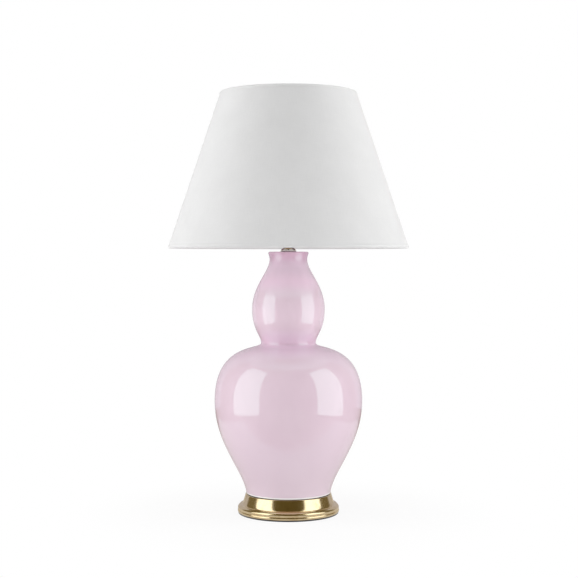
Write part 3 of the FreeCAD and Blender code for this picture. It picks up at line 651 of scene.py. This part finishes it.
def seam_strip():
    """The lapped end of the cloth, down the back."""
    low = hem_band + hem_thickness
    high = shade_slant - low
    columns, rows = seam_columns, seam_rows
    vertices = []
    for layer in (seam_lift, seam_thickness):
        for row in range(rows):
            radius, height = on_side(low + (high - low) * row / (rows - 1), layer)
            for column in range(columns):
                across = seam_half_width * (2 * column / (columns - 1) - 1)
                outer_edge = layer == seam_thickness and column in (0, columns - 1)
                reach = radius - (seam_edge_drop if outer_edge else 0.0)
                vertices.append((across, math.sqrt(reach ** 2 - across ** 2), height))
    layer_size = columns * rows
    faces = []
    for row in range(rows - 1):
        for column in range(columns - 1):
            a = row * columns + column
            quad = (a, a + 1, a + columns + 1, a + columns)
            faces.append(quad)
            faces.append(tuple(layer_size + index for index in reversed(quad)))
    border = list(range(columns))
    border += [row * columns + columns - 1 for row in range(1, rows)]
    border += [(rows - 1) * columns + column for column in range(columns - 2, -1, -1)]
    border += [row * columns for row in range(rows - 2, 0, -1)]
    for index, a in enumerate(border):
        b = border[(index + 1) % len(border)]
        faces.append((b, a, layer_size + a, layer_size + b))
    return vertices, faces


seam = dressed("seam", *seam_strip(), "shade", "shade_fabric", "shade_seam")


# Felt

felt_round = 0.0008
felt_pinhole = 0.0001       # radius left open in the middle, so that no face shrinks to a point


def felt_profile():
    """The felt disc's outline, with its lower edge rounded."""
    edge, _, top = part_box("felt_pad")[1]
    points = [(felt_pinhole, 0.0), (edge - felt_round, 0.0)]
    points += corner(points[-1], (edge, 0.0), (edge, felt_round))
    points += [(edge, top), (felt_pinhole, top)]
    return points


turned("felt_underside", felt_profile(), "lamp_body", "felt", "felt_pad")


# CAD nodes keep their shape and get their material
slot_of = {part["node"]: part["material_slot"] for part in frame["record"]["subparts"]}
for name, node in frame["nodes"].items():
    node.data.materials.clear()
    node.data.materials.append(materials[slot_of[name]])


# Camera

camera_lens = 80.97         # in millimetres, on the sensor's width
camera_sensor = 36.0
camera_place = (0.0010, -2.1992, 0.4328)
camera_dip = 0.0244         # how far the camera looks down, in radians
camera_end = 50.0

camera_data = bpy.data.cameras.new("camera")
camera_data.lens = camera_lens
camera_data.sensor_width = camera_sensor
camera_data.clip_end = camera_end
camera = bpy.data.objects.new("camera", camera_data)
bpy.context.scene.collection.objects.link(camera)
camera.location = camera_place
camera.rotation_euler = (math.pi / 2 - camera_dip, 0.0, 0.0)
bpy.context.scene.camera = camera


# Stage

def emitter(name, colour, strength):
    """A plain glowing material, for cards that only reflections see."""
    material = bpy.data.materials.new(name)
    material.use_nodes = True
    tree = material.node_tree
    tree.nodes.remove(tree.nodes["Principled BSDF"])
    glow = tree.nodes.new("ShaderNodeEmission")
    glow.inputs["Color"].default_value = (*colour, 1)
    glow.inputs["Strength"].default_value = strength
    tree.links.new(glow.outputs[0], tree.nodes["Material Output"].inputs["Surface"])
    return material


def stage_mesh(name, vertices, faces, material):
    """A mesh of the stage, which is no piece of the lamp."""
    mesh = bpy.data.meshes.new(name)
    mesh.from_pydata(vertices, [], faces)
    mesh.materials.append(material)
    made = bpy.data.objects.new(name, mesh)
    bpy.context.scene.collection.objects.link(made)
    return made


card_step = 10              # degrees between the edges of a curved card


def glossy_card(name, vertices, faces, colour, level):
    """A glowing card that only reflections see."""
    made = stage_mesh(name, vertices, faces, emitter(name, colour, level))
    made.visible_camera = False
    made.visible_diffuse = False
    made.visible_transmission = False
    made.visible_volume_scatter = False
    made.visible_shadow = False


def wall_card(name, start, end, colour, level):
    """A curved card round the lamp, from one azimuth to a larger one."""
    steps = round((end - start) / card_step)
    vertices = []
    for index in range(steps + 1):
        azimuth = math.radians(start + (end - start) * index / steps)
        x, y = room_radius * math.sin(azimuth), -room_radius * math.cos(azimuth)
        vertices += [(x, y, 0.0), (x, y, room_height)]
    faces = [(2 * i, 2 * i + 1, 2 * i + 3, 2 * i + 2) for i in range(steps)]
    glossy_card(name, vertices, faces, colour, level)


def flat_card(name, half_width, near, far, height, colour, level):
    """A level card, from near (in front) to far (behind)."""
    corners = ((-half_width, near), (half_width, near), (half_width, far), (-half_width, far))
    vertices = [(x, y, height) for x, y in corners]
    glossy_card(name, vertices, [(0, 1, 2, 3)], colour, level)


# In reflections the lamp stands on a pale table top in a dim room, paler behind
room_colour = (1.0, 0.77, 0.38)
dark_colour = (1.0, 0.72, 0.22)
pale_colour = (1.0, 0.92, 0.95)
table_colour = (1.0, 0.92, 0.85)
room_radius = 1.3
room_height = 2.2
dim_floor_height = 0.0003
table_top_height = 0.0006
table_half_width = 0.55
table_front = -0.195
table_back = 0.6
ceiling_level = 0.25
dim_floor_level = 0.2
table_level = 0.6
room_walls = (              # name, first and last azimuth in degrees, colour, level
    ("front_wall", -40, 40, dark_colour, 0.10),
    ("right_wall", 40, 125, room_colour, 0.17),
    ("left_wall", -125, -40, room_colour, 0.17),
    ("back_wall", 125, 235, pale_colour, 0.5),
)
for room_wall in room_walls:
    wall_card(*room_wall)
flat_card("ceiling", room_radius, -room_radius, room_radius, room_height, room_colour, ceiling_level)
flat_card("dim_floor", room_radius, -room_radius, room_radius, dim_floor_height, room_colour,
          dim_floor_level)
flat_card("table_top", table_half_width, table_front, table_back, table_top_height, table_colour,
          table_level)


def seen(tree):
    """1 for a ray from the camera, also when it comes off metal or through glass, and else 0."""
    path = tree.nodes.new("ShaderNodeLightPath")
    share = path.outputs["Is Camera Ray"]
    for kind in ("Is Glossy Ray", "Is Transmission Ray"):
        either = tree.nodes.new("ShaderNodeMath")
        either.operation = "MAXIMUM"
        tree.links.new(share, either.inputs[0])
        tree.links.new(path.outputs[kind], either.inputs[1])
        share = either.outputs[0]
    return share


floor_radius = 6.0
floor_sides = 64
floor_grey = (0.8, 0.8, 0.8, 1)
shadow_core = 0.12          # the floor round the lamp that shows its shadow in full
shadow_reach = 0.4          # and where the shadow is gone
shadow_share = 0.12


def floor_material():
    """White with the lamp's faint shadow where it is seen, matt to bounced light, clear from below."""
    material = bpy.data.materials.new("floor")
    material.use_nodes = True
    tree = material.node_tree
    tree.nodes.remove(tree.nodes["Principled BSDF"])

    def add(kind, **inputs):
        made = tree.nodes.new(kind)
        for key, value in inputs.items():
            made.inputs[key].default_value = value
        return made

    def mixed(share, first, second):
        made = add("ShaderNodeMixShader")
        for index, source in enumerate((share, first, second)):
            tree.links.new(source, made.inputs[index])
        return made.outputs[0]

    away = add("ShaderNodeVectorMath")
    away.operation = "LENGTH"
    tree.links.new(add("ShaderNodeTexCoord").outputs["Object"], away.inputs[0])
    fade = add("ShaderNodeMapRange")
    fade.interpolation_type = "SMOOTHSTEP"
    for index, value in enumerate((shadow_core, shadow_reach, shadow_share, 0.0), 1):
        fade.inputs[index].default_value = value
    tree.links.new(away.outputs["Value"], fade.inputs[0])
    white = add("ShaderNodeEmission", Color=(1, 1, 1, 1), Strength=1.0).outputs[0]
    matt = add("ShaderNodeBsdfDiffuse", Color=floor_grey).outputs[0]
    clear = add("ShaderNodeBsdfTransparent").outputs[0]
    below = add("ShaderNodeNewGeometry").outputs["Backfacing"]
    shown = mixed(fade.outputs[0], white, matt)
    surface = mixed(below, mixed(seen(tree), matt, shown), clear)
    tree.links.new(surface, tree.nodes["Material Output"].inputs["Surface"])
    return material


rim = []
for index in range(floor_sides):
    angle = 2 * math.pi * index / floor_sides
    rim.append((floor_radius * math.cos(angle), floor_radius * math.sin(angle), 0.0))
stage_mesh("floor", rim, [tuple(range(floor_sides))], floor_material())


# Lights

def softbox(name, place, target, size, watts, mirrored):
    """A soft box that faces a target. It either shows in reflections or lights matt surfaces."""
    data = bpy.data.lights.new(name, "AREA")
    data.shape = "RECTANGLE"
    data.size, data.size_y = size
    data.energy = watts
    made = bpy.data.objects.new(name, data)
    bpy.context.scene.collection.objects.link(made)
    made.location = place
    made.rotation_euler = (Vector(target) - Vector(place)).to_track_quat("-Z", "Y").to_euler()
    made.visible_camera = False
    made.visible_glossy = mirrored
    made.visible_diffuse = not mirrored


def standing_box(name, azimuth, distance, shift, size, watts, mirrored):
    """An upright soft box that stands on the floor and faces the lamp's axis, shifted sideways."""
    turn = math.radians(azimuth)
    height = size[1] / 2
    x = math.sin(turn) * distance + math.cos(turn) * shift
    y = -math.cos(turn) * distance + math.sin(turn) * shift
    target = (math.cos(turn) * shift, math.sin(turn) * shift, height)
    softbox(name, (x, y, height), target, size, watts, mirrored)


# The keys show in reflections as two tall windows. The other boxes light matt surfaces alone.
key_azimuth = 68.5
key_distance = 0.75
key_shift = -0.06
key_size = (0.625, 1.13)
key_watts = 3.2
key_fill_watts = 0.9
rim_azimuth = 85.0
rim_distance = 0.9
rim_size = (0.625, 1.1)
rim_watts = 4.6
high_x, high_y, high_z = 0.97, -0.26, 1.3
high_target = (0.0, 0.0, 0.5)
high_size = (0.6, 0.6)
high_watts = 4.0
front_distance = 1.2
front_size = (1.2, 0.5)
front_watts = 4.8
back_distance = 1.5
back_size = (1.2, 0.9)
back_watts = 9.5
overhead_place = (0.0, -0.3, 1.9)
overhead_target = (0.0, -0.3, 0.0)
overhead_size = (1.0, 1.0)
overhead_watts = 4.9
world_level = 0.30          # how bright the world is to matt surfaces

for side, side_name in ((1, "right"), (-1, "left")):
    azimuth, shift = key_azimuth * side, key_shift * side
    standing_box(side_name + "_key", azimuth, key_distance, shift, key_size, key_watts, True)
    standing_box(side_name + "_key_fill", azimuth, key_distance, shift, key_size, key_fill_watts, False)
    standing_box(side_name + "_rim", rim_azimuth * side, rim_distance, 0.0, rim_size, rim_watts, False)
    high_place = (high_x * side, high_y, high_z)
    softbox(side_name + "_high", high_place, high_target, high_size, high_watts, False)
standing_box("front_fill", 0, front_distance, 0.0, front_size, front_watts, False)
standing_box("back_fill", 180, back_distance, 0.0, back_size, back_watts, False)
softbox("overhead", overhead_place, overhead_target, overhead_size, overhead_watts, False)


def studio_world():
    """A white world where it is seen, and a soft light to matt surfaces."""
    world = bpy.data.worlds.new("studio")
    bpy.context.scene.world = world
    world.use_nodes = True
    tree = world.node_tree
    ground = tree.nodes["Background"]
    level = tree.nodes.new("ShaderNodeMapRange")
    level.inputs["To Min"].default_value = world_level
    level.inputs["To Max"].default_value = 1.0
    tree.links.new(seen(tree), level.inputs["Value"])
    tree.links.new(level.outputs[0], ground.inputs["Strength"])
    ground.inputs["Color"].default_value = (1.0, 1.0, 1.0, 1.0)


studio_world()
bpy.context.scene.view_settings.view_transform = "Standard"
